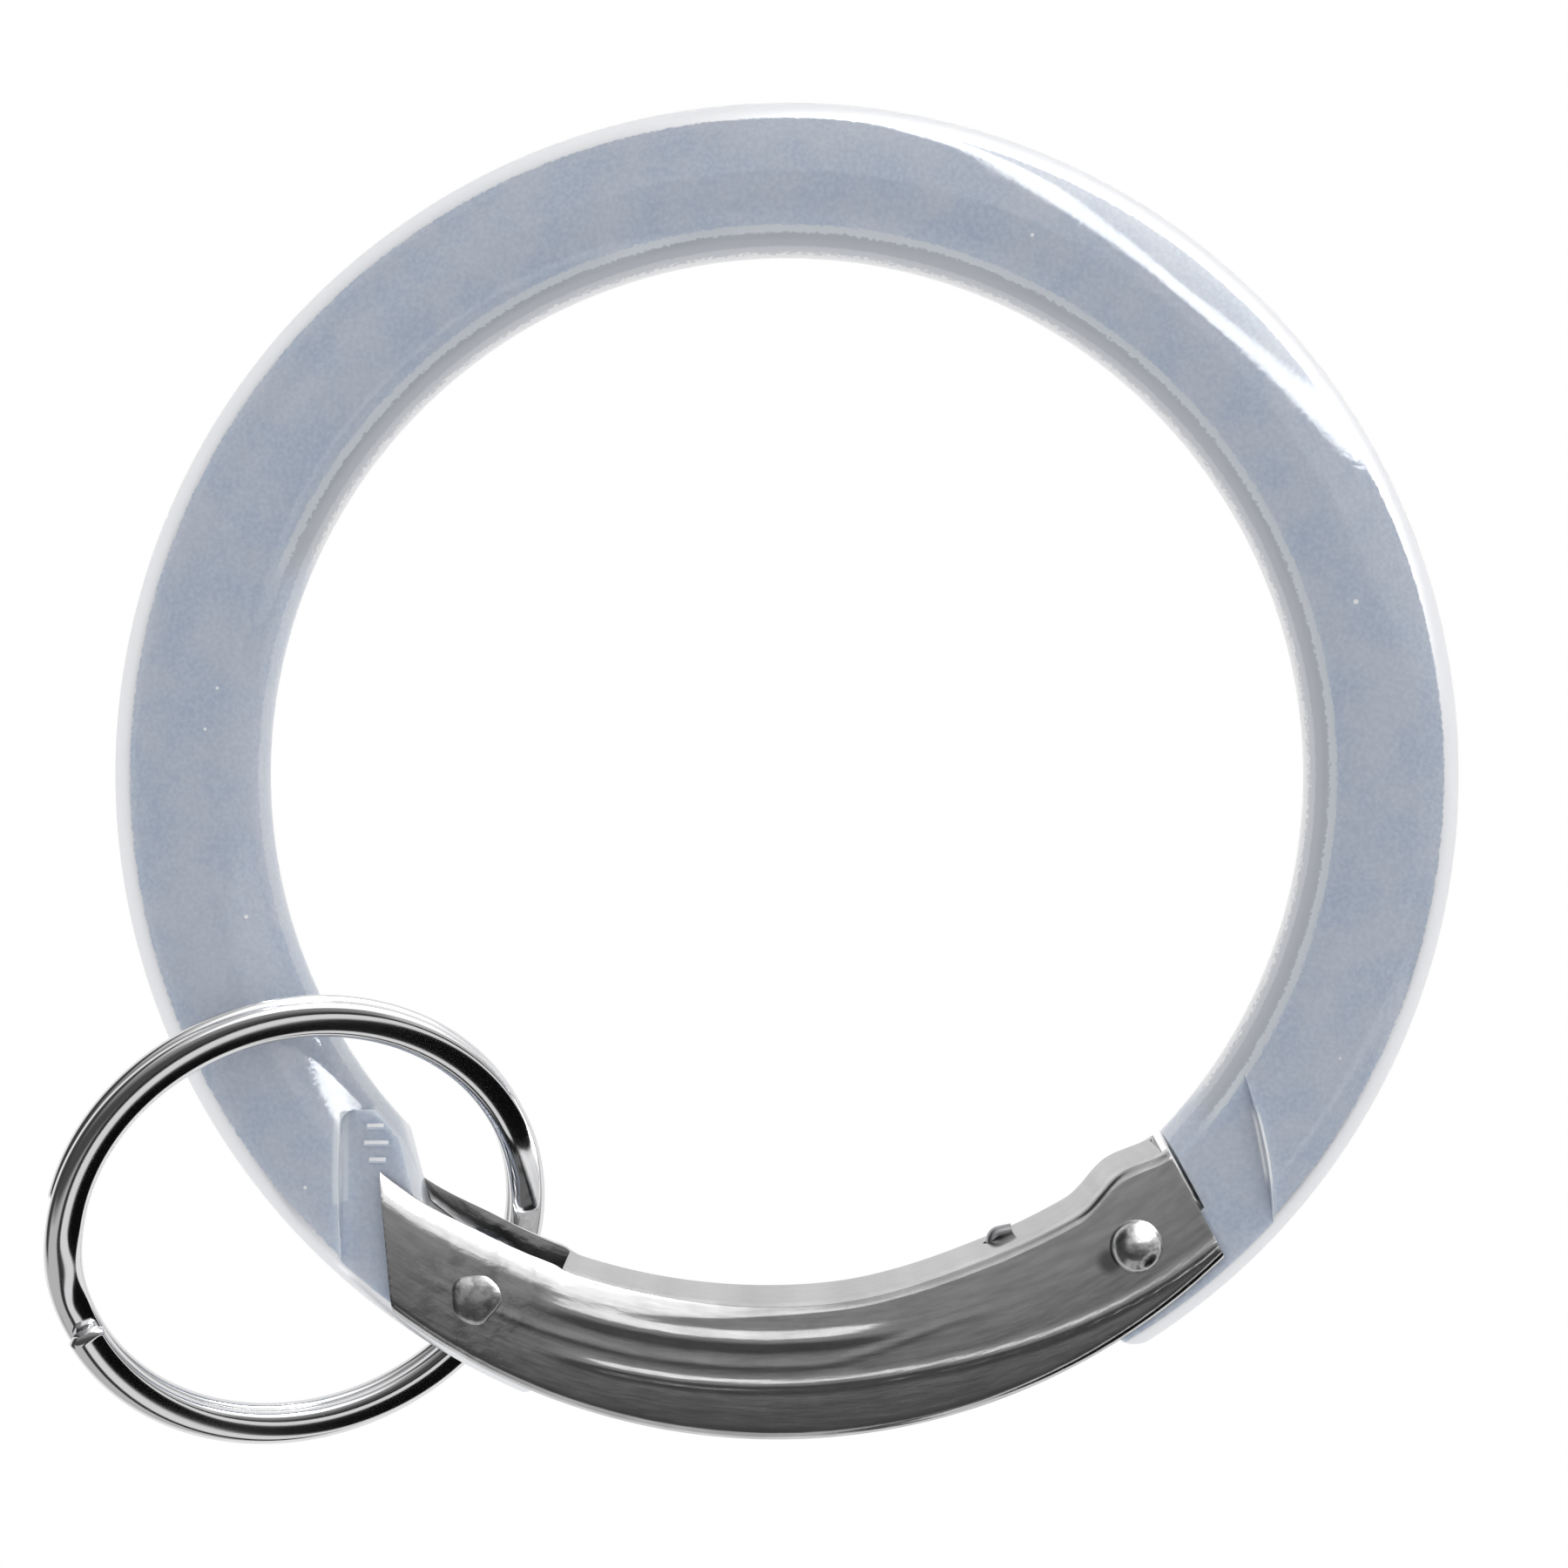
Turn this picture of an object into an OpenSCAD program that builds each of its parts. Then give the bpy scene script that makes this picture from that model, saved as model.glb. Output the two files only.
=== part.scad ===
// Round carabiner: a moulded C-shaped loop, closed by a sprung gate of folded sheet steel,
// with a two-turn split ring linked round the loop.
// The loop lies flat. +Z is its normal, the origin is its centre and the gate is at -Y.
// Angles called _a are taken from straight down (-Y), positive towards +X.

/* [Loop] */
// Outside diameter of the loop
loop_od = 70; // [68:0.5:76]
// Width of the loop's bar, from its inner to its outer side
bar_w = 8; // [7.6:0.1:8.6]
// Thickness of the loop's bar, from front to back
bar_t = 6.8; // [6.4:0.1:7.4]
// Where the nose tongue ends, to the right of straight down
nose_tip_a = 30.2; // [28:0.1:32]
// From the gate's free end to the nose's step
nose_lap = 3.86; // [2.6:0.02:5]
// Gap between the shut gate's free end and the nose's shoulder
nose_gap = 0.3; // [0.2:0.05:0.8]
// From the pivot to the far wall of the hinge pocket
pocket_reach = 6.9; // [6.2:0.1:7.2]
// From the pivot up to the top wall of the hinge pocket
pocket_rise = 9.6; // [8.8:0.1:10.4]
// Corner radius of the hinge pocket
pocket_corner_r = 0.7; // [0.3:0.1:1.2]
// From the pivot to the hinge tang's end, towards the loop's inside
tang_reach = 1.7; // [1.6:0.05:1.9]
// From the pivot back to the hinge tang's shoulder, at its top
shoulder_back = 4.25; // [4:0.05:4.6]
// From the pivot up to the hinge tang's shoulder, at its top
shoulder_rise = 9; // [8.4:0.1:9.4]
// From the loop's inner edge out to the hinge tang's square side
tang_side_step = 0.35; // [0.2:0.05:0.6]
// Lean of the hinge tang's shoulder off the upright
shoulder_lean = 14.5; // [8:0.5:20]
// From the pivot to the hinge tang's end
toe_reach = 2.95; // [2.6:0.05:3.4]
// Corner radius of the hinge tang's toe
toe_corner_r = 0.9; // [0.4:0.1:1.4]

/* [Hinge ribs] */
// Lengths of the moulded ribs in the hinge pocket
rib_lengths = [0.9, 1.3, 0.9]; // [0.6:0.1:1.4]
// Spacing of the ribs
rib_pitch = 0.87; // [0.7:0.01:1]
// Radius of the half-round ribs
rib_r = 0.17; // [0.1:0.01:0.18]
// From the pocket's top wall to the first rib
rib_drop = 0.85; // [0.7:0.05:1.2]
// From the pivot back to the middle of the first rib
rib_back = 5.2; // [5.1:0.05:5.6]
// How far each rib stands forward of the one above it
rib_shift = 0.05; // [0:0.05:0.1]

/* [Gate] */
// Width of the gate's channel, from front to back
gate_w = 6; // [5.6:0.1:6.4]
// Thickness of the gate's sheet
sheet_t = 0.5; // [0.4:0.05:0.6]
// Clearance between each flange and the tangs
flange_gap = 0.2; // [0.1:0.05:0.3]
// From the loop's inner edge out to the gate's web, at the middle of the gate
web_step = 0.43; // [0.1:0.01:0.6]
// From the loop's outer edge in to the flanges' outer edge, at the middle of the gate
edge_step = 0.55; // [0.3:0.05:1]
// How far the centre of the web's curve lies above the loop's centre
web_lift = 4.45; // [3:0.05:5.5]
// How far the centre of the web's curve lies towards the hinge
web_shift = 0.43; // [0:0.01:0.6]
// How far the centre of the flanges' outer edge lies below the loop's centre
edge_drop = 1.6; // [0.5:0.1:2]
// Outside radius of the folds between the web and the flanges
fold_r = 0.9; // [0.6:0.05:1.2]
// Radius of the rolled-over outer edges of the flanges
lip_r = 0.42; // [0.2:0.02:0.5]
// Where the web begins, to the left of straight down about the centre of its curve
notch_a = 20.3; // [19:0.1:21.5]
// How far the web stops short of the flanges at the free end
web_setback = 1.3; // [1:0.1:2]
// From the pivot to the gate's hinge end
hinge_reach = 4.35; // [3.8:0.05:4.6]
// How far the hinge end's edge leans off the upright
hinge_lean = 4.2; // [0:0.1:8]
// Where the gate's free end is, at the middle of its flanges
free_a = 42.8; // [41:0.1:43.5]
// How far the free end's edge leans off the radius
free_lean = 16; // [8:0.5:20]
// How far the shut gate leans in from its own symmetry, about the pivot
gate_rest = 1.15; // [0:0.05:2]

/* [Beads and thumb swell] */
// How far the beads stand proud of the flanges
bead_h = 0.13; // [0.08:0.01:0.2]
// Width of the upper bead
bead_in_w = 1.2; // [0.8:0.1:1.4]
// From the web to the upper bead
bead_in = 1.65; // [1.4:0.05:1.9]
// Where the upper bead begins, to the left of straight down about the web's centre
bead_in_start_a = 22; // [10:0.5:24]
// Where the upper bead ends, to the right of straight down about the web's centre
bead_in_end_a = 9; // [4:0.5:20]
// Width of the lower bead
bead_out_w = 0.8; // [0.5:0.1:1]
// From the web to the lower bead, at the middle of the gate
bead_out = 4.05; // [3.8:0.05:4.4]
// Where the lower bead begins, to the left of straight down about its own centre
bead_out_start_a = 18; // [12:0.5:20]
// How far the centre of the lower bead's curve lies above the web's
bead_out_lift = 3.65; // [0:0.05:4]
// How far the centre of the lower bead's curve lies from the web's, towards the free end
bead_out_shift = 0.5; // [0:0.05:1]
// Radius of the thumb swell in the web
swell_r = 4.8; // [4:0.1:6]
// How far the thumb swell stands in from the web
swell_h = 1; // [0.5:0.05:1.1]
// Where the thumb swell is, to the right of straight down about the web's centre
swell_a = 34.1; // [33:0.1:35]

/* [Rivets] */
// From the loop's outer edge in to the pivot rivet
pivot_depth = 3.8; // [3.5:0.05:4.1]
// Where the pivot rivet is, to the left of straight down
pivot_a = 30.7; // [29.5:0.1:31.5]
// Radius of the pivot rivet's shank
pivot_r = 0.9; // [0.7:0.05:1]
// Radius of the pivot rivet's flattened heads
pivot_head_r = 1.35; // [1.2:0.05:1.6]
// Height of the pivot rivet's flattened heads
pivot_head_h = 0.3; // [0.2:0.02:0.35]
// From the loop's outer edge in to the latch rivet, with the gate in its own symmetry
latch_depth = 4.4; // [4.1:0.05:4.8]
// Where the latch rivet is, to the right of straight down
latch_a = 35.8; // [34:0.1:37]
// Radius of the latch rivet's shank
latch_r = 0.8; // [0.6:0.05:1]
// Radius of the latch rivet's domed heads
latch_head_r = 1.38; // [1.1:0.02:1.5]
// Height of the latch rivet's front dome
latch_head_h = 0.85; // [0.6:0.05:1]
// Height of the latch rivet's back head
latch_tail_h = 0.35; // [0.2:0.05:0.5]
// Running clearance of the pivot's shank in the hinge tang
pivot_play = 0.06; // [0.03:0.01:0.1]
// Clearance of the rivets' shanks in the flanges
rivet_play = 0.03; // [0.02:0.01:0.06]
// Gap between the latch rivet's shank and the nose tongue
latch_play = 0.06; // [0.03:0.01:0.15]

/* [Gate spring] */
// Diameter of the spring's wire
wire_d = 0.6; // [0.5:0.05:0.65]
// Turns of the spring round the pivot
spring_turns = 2.5; // [2.5:1:2.5]
// Rise of the spring's wire in one turn
spring_pitch = 0.66; // [0.62:0.01:0.7]
// Clearance between the spring and the pivot, and between the spring and its slot
spring_play = 0.2; // [0.1:0.05:0.3]
// Length of the spring's short leg, seated in the hinge tang
leg_l = 2.2; // [1.6:0.1:2.6]
// From the pivot down to the bottom of the slot's mouth
slot_drop = 0.8; // [0.7:0.05:1]
// Clearance of the short leg in its groove
leg_play = 0.05; // [0.02:0.01:0.1]
// Where the hook goes through the web, to the right of straight down about the web's centre
hook_a = 20.8; // [18:0.1:26]
// From the web to the middle of the hook's turned-over wire
hook_h = 0.65; // [0.6:0.05:1.2]
// Radius of the hook's bends
hook_bend_r = 0.45; // [0.35:0.05:0.6]
// Length of the hook's turned-over tip
hook_tip_l = 0.7; // [0.4:0.1:0.8]
// How far the hook's tip turns down past level
hook_dip_a = 10; // [0:1:12]
// Clearance round the spring's hook in the web
hook_play = 0.15; // [0.1:0.05:0.25]

/* [Split ring] */
// Outside diameter of the split ring
ring_od = 26; // [25:0.1:28]
// Width of the ring's wire, across the ring
ring_wire_w = 1.9; // [1.6:0.05:2.1]
// Thickness of each of the ring's two turns
ring_wire_t = 0.78; // [0.7:0.02:0.84]
// Gap between the two turns
ring_turn_gap = 0.04; // [0.03:0.01:0.06]
// From the loop's outer edge in to the ring's centre
ring_depth = 0.4; // [0:0.1:0.6]
// Where the ring's centre is, to the left of straight down
ring_a = 47.2; // [46:0.1:49]
// Height of the ring's centre above the loop's mid-plane
ring_z = 0.15; // [0:0.05:0.4]
// Lean of the ring out of the loop's plane
ring_tilt = 29; // [28:0.5:34]
// Roundness of the ring's wire: 1 is an oval, less is squarer
ring_wire_round = 0.8; // [0.6:0.05:1]
// Turn over which the wire crosses from the front turn to the back one
cross_a = 28; // [26:1:40]
// Gap between each end of the wire and the crossing
end_gap_a = 3.5; // [2.5:0.5:6]
// Where the crossing is, about the ring's axis from its outermost point
ring_end_a = -38; // [-60:1:60]

/* [Hidden] */
$fn = 96;
eps = 0.01;
far = 200;

function polar(r, a) = [r * sin(a), -r * cos(a)];
function turned(p, about, a) = [
    about.x + (p.x - about.x) * cos(a) - (p.y - about.y) * sin(a),
    about.y + (p.x - about.x) * sin(a) + (p.y - about.y) * cos(a)
];

// The loop's bar
loop_r = loop_od / 2;
bar_mid_r = loop_r - bar_w / 2;
bar_side_r = bar_t / 2;
bar_flat = bar_w / 2 - bar_side_r;
tang_t = gate_w - 2 * sheet_t - 2 * flange_gap;

// The pivot, and the latch rivet as the gate is made and as it rests when shut
pivot = polar(loop_r - pivot_depth, -pivot_a);
latch = polar(loop_r - latch_depth, latch_a);
latch_shut = turned(latch, pivot, gate_rest);

// The gate's channel, as it is made
web_in = loop_r - bar_w + web_step;
flange_h = bar_w - web_step - edge_step;
web_c = [-web_shift, web_lift];
web_r = web_in + web_lift;
edge_c = [0, -edge_drop];
edge_r = loop_r - edge_step - edge_drop;
free_mid = polar(web_in + flange_h / 2, free_a);
web_end_r = norm(free_mid - pivot) - web_setback;
nose_step_r = norm(free_mid - pivot) + nose_lap;
pivot_web_a = atan((pivot.x - web_c.x) / (web_c.y - pivot.y));
swell_c = web_c + polar(web_r - swell_h + swell_r, swell_a);

// The nose tongue and the hinge tang
tongue_in = norm(latch_shut) + latch_r + latch_play;
tongue_mid = (tongue_in + loop_r) / 2;
tongue_end_r = (loop_r - tongue_in) / 2;
tip_a = nose_tip_a + asin(tongue_end_r / tongue_mid);
free_mid_shut = turned(free_mid, pivot, gate_rest);
free_edge_shut_a = free_a - free_lean + gate_rest;
shoulder_top = pivot + [-shoulder_back, shoulder_rise];

// The spring's coil and its slot
wire_r = wire_d / 2;
coil_r = pivot_r + spring_play + wire_r;
slot_r = coil_r + wire_r + spring_play;
coil_h = spring_turns * spring_pitch;
slot_w = coil_h + wire_d + spring_play;
arm_r = norm(pivot - web_c) - coil_r;
arm_z = -coil_h / 2;
leg_z = coil_h / 2;

// The split ring
ring_mid_r = (ring_od - ring_wire_w) / 2;
ring_c = polar(loop_r - ring_depth, -ring_a);
turn_z = (ring_wire_t + ring_turn_gap) / 2;
flat_turn_a = 360 - cross_a - 2 * end_gap_a;
ring_turn_a = 2 * flat_turn_a + cross_a + 2 * end_gap_a;

// Helpers

// The side of the line through p, at a from the upright, that lies towards -X
module left_of(p, a) {
    translate(p)
        rotate(a)
            translate([-far, -far / 2])
                square(far);
}

module right_of(p, a) {
    translate(p)
        rotate(a)
            translate([0, -far / 2])
                square(far);
}

// A rectangle from x_in to x_out, centred on y = 0, with its two outer corners rounded
module end_rounded(x_in, x_out, h, r) {
    translate([x_in, -h / 2])
        square([x_out - x_in - r, h]);
    translate([x_in, -h / 2 + r])
        square([x_out - x_in, h - 2 * r]);
    for (s = [-1, 1])
        translate([x_out - r, s * (h / 2 - r)])
            circle(r, $fn = 48);
}

// A wire of n-sided section r, swept along points whose section frames are given
module sweep(rings) {
    n = len(rings[0]);
    last = len(rings) - 1;
    sides = [for (i = [0:last - 1], j = [0:n - 1])
        [i * n + j, i * n + (j + 1) % n, (i + 1) * n + (j + 1) % n, (i + 1) * n + j]];
    first_cap = [[for (j = [n - 1:-1:0]) j]];
    last_cap = [[for (j = [0:n - 1]) last * n + j]];
    polyhedron([for (ring = rings) each ring], concat(sides, first_cap, last_cap), convexity = 8);
}

module cap(r, h) {
    // A low dome of base radius r and height h, standing on z = 0
    ball_r = (r * r + h * h) / (2 * h);
    intersection() {
        translate([0, 0, h - ball_r])
            sphere(ball_r);
        cylinder(r = r + eps, h = h + eps);
    }
}

// Loop

// The bar's section: a round bar with flattened front and back
module bar_section() {
    for (s = [-1, 1])
        translate([bar_mid_r + s * bar_flat, 0])
            circle(bar_side_r);
    translate([bar_mid_r - bar_flat, -bar_side_r])
        square([2 * bar_flat, bar_t]);
}

// The loop seen along its normal
module loop_plan() {
    difference() {
        circle(loop_r + eps);
        // the gateway between the nose tongue and the hinge tang
        polygon([
            [0, 0],
            polar(far, tip_a),
            polar(far, 0),
            [pivot.x + toe_reach, -far],
            [pivot.x + toe_reach, pivot.y + 2 * tang_reach]
        ]);
        toe_corner();
        // the step down to the hinge tang
        intersection() {
            circle(norm(pivot) - tang_reach);
            translate([-far, -far])
                square(far);
            right_of(shoulder_top, shoulder_lean);
        }
        // the way in for the latch rivet, above the tongue
        intersection() {
            circle(tongue_in);
            translate([0, -far])
                square(far);
            left_of(free_mid_shut + polar(nose_gap, 90 + free_edge_shut_a), free_edge_shut_a);
        }
    }
    // the tongue's round end
    translate(polar(tongue_mid, tip_a))
        circle(tongue_end_r);
}

// Rounds the hinge tang's outer corner
module toe_corner() {
    c_x = pivot.x + toe_reach - toe_corner_r;
    c = [c_x, -sqrt(pow(loop_r - toe_corner_r, 2) - c_x * c_x)];
    difference() {
        polygon([c, c + [bar_w, 0], c + [bar_w, -bar_w], c + bar_w * c / norm(c)]);
        translate(c)
            circle(toe_corner_r);
    }
}

// Where the gate's flanges lie over the nose and the hinge tang
module recess_plan() {
    intersection() {
        translate(pivot)
            circle(nose_step_r);
        translate([0, -far])
            square(far);
    }
    pocket_plan();
}

module pocket_plan() {
    translate([pivot.x - pocket_reach, pivot.y + pocket_rise - far])
        difference() {
            square([-pivot.x + pocket_reach, far]);
            translate([0, far - pocket_corner_r])
                difference() {
                    square(pocket_corner_r);
                    translate([pocket_corner_r, 0])
                        circle(pocket_corner_r);
                }
        }
}

// The hinge tang is squarer than the bar towards the loop's inside
module tang_side() {
    linear_extrude(tang_t, center = true)
        intersection() {
            loop_plan();
            pocket_plan();
            difference() {
                circle(bar_mid_r);
                circle(loop_r - bar_w + tang_side_step);
            }
        }
}

// The slot for the spring's coil and arm, open towards the loop's inside and at the toe
module spring_slot() {
    linear_extrude(slot_w, center = true) {
        translate(pivot) {
            circle(slot_r);
            rotate(-pivot_a)
                translate([-slot_r, 0])
                    square([2 * slot_r, 2 * tang_reach]);
        }
        translate(pivot - [0, slot_drop])
            square([toe_reach + eps, slot_drop + 2 * tang_reach]);
    }
}

// The groove that holds the spring's short leg
module leg_groove() {
    translate([pivot.x, pivot.y, leg_z])
        rotate(pivot_web_a + gate_rest)
            translate([0, -coil_r, 0])
                rotate([0, 90, 0])
                    cylinder(r = wire_r + leg_play, h = leg_l + leg_play, $fn = 24);
}

module loop_body() {
    color([0.68, 0.72, 0.77])
        difference() {
            union() {
                intersection() {
                    rotate_extrude($fn = 180)
                        bar_section();
                    linear_extrude(bar_t + 2, center = true)
                        loop_plan();
                }
                tang_side();
            }
            for (s = [-1, 1])
                translate([0, 0, s > 0 ? tang_t / 2 : -tang_t / 2 - bar_t])
                    linear_extrude(bar_t)
                        recess_plan();
            translate([pivot.x, pivot.y, -bar_t])
                cylinder(r = pivot_r + pivot_play, h = 2 * bar_t);
            spring_slot();
            leg_groove();
        }
    color([0.68, 0.72, 0.77])
        hinge_ribs();
}

module hinge_ribs() {
    intersection() {
        linear_extrude(bar_t, center = true)
            difference() {
                circle(bar_mid_r);
                circle(loop_r - bar_w + tang_side_step);
            }
        for (i = [0:len(rib_lengths) - 1])
            translate([
                pivot.x - rib_back + rib_shift * i,
                pivot.y + pocket_rise - rib_drop - i * rib_pitch,
                tang_t / 2
            ])
                rotate([0, 90, 0])
                    cylinder(r = rib_r, h = rib_lengths[i], center = true, $fn = 24);
    }
}

// Gate

// Puts the gate's pieces, drawn as made, where they rest when it is shut
module shut() {
    translate([pivot.x, pivot.y, 0])
        rotate(gate_rest)
            translate([-pivot.x, -pivot.y, 0])
                children();
}

// The channel's section: its web is at x = 0 and its flanges point towards +X
module channel_section() {
    mirror([1, 0])
        difference() {
            end_rounded(-2 * flange_h, 0, gate_w, fold_r);
            end_rounded(-3 * flange_h, -sheet_t, gate_w - 2 * sheet_t, fold_r - sheet_t);
        }
}

// The channel bent along the web's curve, with the outer edges of its flanges rolled over
module channel() {
    intersection() {
        translate(web_c)
            rotate_extrude($fn = 180)
                translate([web_r, 0])
                    channel_section();
        translate(edge_c)
            rotate_extrude($fn = 180)
                end_rounded(eps, edge_r, gate_w, lip_r);
    }
}

// The gate between its two end cuts, seen along the loop's normal
module gate_span() {
    difference() {
        intersection() {
            translate([-far / 2, -far])
                square(far);
            left_of(free_mid, free_a - free_lean);
        }
        left_of(pivot - [hinge_reach, 0], hinge_lean);
    }
}

// Inside the web's curve, out to d past the web's inner face
module within_web(d) {
    translate(web_c)
        circle(web_r + d, $fn = 180);
}

module gate() {
    color([0.72, 0.73, 0.75])
        shut()
            difference() {
                intersection() {
                    union() {
                        channel();
                        beads();
                        swell();
                    }
                    linear_extrude(2 * gate_w, center = true)
                        gate_span();
                }
                swell_hollow();
                web_notch();
                web_end();
                hook_hole();
                for (hole = [[pivot, pivot_r], [latch, latch_r]])
                    translate(concat(hole[0], -gate_w))
                        cylinder(r = hole[1] + rivet_play, h = 2 * gate_w);
            }
}

// The long low beads on both flanges
module beads() {
    for (s = [0, 1])
        mirror([0, 0, s])
            translate([0, 0, gate_w / 2]) {
                bead(web_c, web_r + bead_in, bead_in_w, bead_in_start_a, bead_in_end_a);
                bead(
                    web_c + [bead_out_shift, bead_out_lift],
                    web_r + bead_out + bead_out_lift,
                    bead_out_w,
                    bead_out_start_a,
                    free_a
                );
            }
}

// A bead of width w, bent to radius r about c, that stands on the flange
module bead(c, r, w, start_a, end_a) {
    top_r = (w * w / 4 + bead_h * bead_h) / (2 * bead_h);
    translate(c)
        rotate(-90 - start_a)
            rotate_extrude(angle = start_a + end_a, $fn = 180)
                translate([r, 0])
                    intersection() {
                        translate([0, bead_h - top_r])
                            circle(top_r);
                        translate([-w, -sheet_t / 2])
                            square([2 * w, sheet_t]);
                    }
}

// The rounded swell in the web, where the thumb presses
module swell() {
    intersection() {
        translate(swell_c)
            rotate_extrude()
                end_rounded(eps, swell_r, gate_w, fold_r);
        linear_extrude(2 * gate_w, center = true)
            within_web(sheet_t);
    }
}

module swell_hollow() {
    linear_extrude(gate_w - 2 * sheet_t, center = true)
        intersection() {
            translate(swell_c)
                circle(swell_r - sheet_t);
            within_web(2 * sheet_t);
        }
}

// The web is cut away over the hinge tang
module web_notch() {
    linear_extrude(gate_w - 2 * sheet_t, center = true)
        intersection() {
            within_web(2 * sheet_t);
            left_of(web_c + polar(web_r, -notch_a), -notch_a);
        }
}

// The web and its folds stop short of the flanges at the free end
module web_end() {
    linear_extrude(2 * gate_w, center = true)
        difference() {
            intersection() {
                within_web(fold_r);
                translate([0, -far])
                    square(far);
            }
            translate(pivot)
                circle(web_end_r);
        }
}

module hook_hole() {
    translate(concat(web_c + polar(web_r, hook_a), arm_z))
        rotate([90, 0, hook_a])
            cylinder(r = wire_r + hook_play, h = 4 * sheet_t, center = true, $fn = 24);
}

// Rivets

module pivot_rivet() {
    color([0.62, 0.62, 0.64])
        shut()
            translate([pivot.x, pivot.y, 0]) {
                cylinder(r = pivot_r, h = gate_w, center = true);
                for (s = [0, 1])
                    mirror([0, 0, s])
                        translate([0, 0, gate_w / 2])
                            cap(pivot_head_r, pivot_head_h);
            }
}

module latch_rivet() {
    color([0.78, 0.78, 0.8])
        shut()
            translate([latch.x, latch.y, 0]) {
                cylinder(r = latch_r, h = gate_w, center = true);
                translate([0, 0, gate_w / 2])
                    cap(latch_head_r, latch_head_h);
                mirror([0, 0, 1])
                    translate([0, 0, gate_w / 2])
                        cap(latch_head_r, latch_tail_h);
            }
}

// Gate spring: a short leg in the hinge tang, a coil round the pivot, and a long arm
// under the web that ends in a hook through it. Its path is a list of [x, y, z, heading].

coil_start_a = 90 + pivot_web_a + 360 * spring_turns;
leg_start = pivot + coil_r * [cos(coil_start_a), sin(coil_start_a)]
    - leg_l * [sin(coil_start_a), -cos(coil_start_a)];
leg_path = [[leg_start.x, leg_start.y, leg_z, coil_start_a - 90]];

coil_steps = 44;
coil_path = [for (i = [0:coil_steps])
    let (t = i / coil_steps, a = coil_start_a - 360 * spring_turns * t)
    [pivot.x + coil_r * cos(a), pivot.y + coil_r * sin(a), leg_z - coil_h * t, a - 90]];

arm_steps = 12;
arm_end_a = hook_a - asin(hook_bend_r / arm_r);
arm_path = [for (i = [1:arm_steps])
    let (a = pivot_web_a + (arm_end_a - pivot_web_a) * i / arm_steps, p = web_c + polar(arm_r, a))
    [p.x, p.y, arm_z, a]];

// The hook, in a frame at the arm's end: +X along the arm, +Y through the web
hook_top = arm_r - web_r + hook_h;
bend_steps = 4;
hook_bends = concat(
    [for (i = [1:bend_steps])
        let (a = 90 * i / bend_steps)
        [-hook_bend_r + hook_bend_r * sin(a), hook_bend_r - hook_bend_r * cos(a), a]],
    [for (i = [0:bend_steps])
        let (a = 90 - (90 + hook_dip_a) * i / bend_steps)
        [hook_bend_r - hook_bend_r * sin(a), hook_top - hook_bend_r + hook_bend_r * cos(a), a]]
);
hook_tip = hook_bends[len(hook_bends) - 1] + concat(hook_tip_l * [cos(hook_dip_a), -sin(hook_dip_a)], 0);
hook_foot = web_c + polar(arm_r, hook_a);
hook_path = [for (h = concat(hook_bends, [hook_tip]))
    let (p = turned(hook_foot + [h.x, h.y], hook_foot, hook_a))
    [p.x, p.y, arm_z, hook_a + h.z]];

// An eight-sided section of the wire at one point of its path
function wire_ring(s) = [for (j = [0:7])
    let (a = 45 * j)
    [s.x - wire_r * cos(a) * sin(s[3]), s.y + wire_r * cos(a) * cos(s[3]), s.z + wire_r * sin(a)]];

module gate_spring() {
    color([0.55, 0.55, 0.57])
        shut()
            sweep([for (s = concat(leg_path, coil_path, arm_path, hook_path)) wire_ring(s)]);
}

// Split ring: flattened wire wound in two turns, one behind the other

// Height of the wire's centre, at angle t along it
function turn_height(t) =
    let (c = (t - flat_turn_a - end_gap_a) / cross_a)
    c <= 0 ? turn_z : c >= 1 ? -turn_z : turn_z * cos(180 * c);

// One of the wire's half sizes, at the cosine or sine v round its section
function rounded(size, v) = size / 2 * sign(v) * pow(abs(v), ring_wire_round);

// The wire's section, as [out from the middle, up from the middle]
ring_section = [for (j = [0:11])
    [rounded(ring_wire_w, cos(30 * j)), rounded(ring_wire_t, sin(30 * j))]];

ring_step_a = 6;
ring_steps = ceil(ring_turn_a / ring_step_a);

module split_ring() {
    color([0.85, 0.85, 0.87])
        translate(concat(ring_c, ring_z))
            rotate(-90 - ring_a)
                rotate([-ring_tilt, 0, 0])
                    rotate(ring_end_a + cross_a / 2 + end_gap_a)
                        sweep([for (i = [0:ring_steps])
                            let (t = ring_turn_a * i / ring_steps, h = turn_height(t))
                            [for (q = ring_section)
                                [(ring_mid_r + q.x) * cos(t), (ring_mid_r + q.x) * sin(t), h + q.y]]]);
}

loop_body();
gate();
pivot_rivet();
latch_rivet();
gate_spring();
split_ring();
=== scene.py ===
"""Looks of the round carabiner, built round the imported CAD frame.

The loop is an oval spun round and cut to shape, the rivets are built up from a disc, and the gate, the
spring and the split ring are run through their sections, because those change all along the piece.
Sizes are in millimetres and places are the frame's own.
"""
import math

import bpy
from mathutils import Matrix


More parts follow.
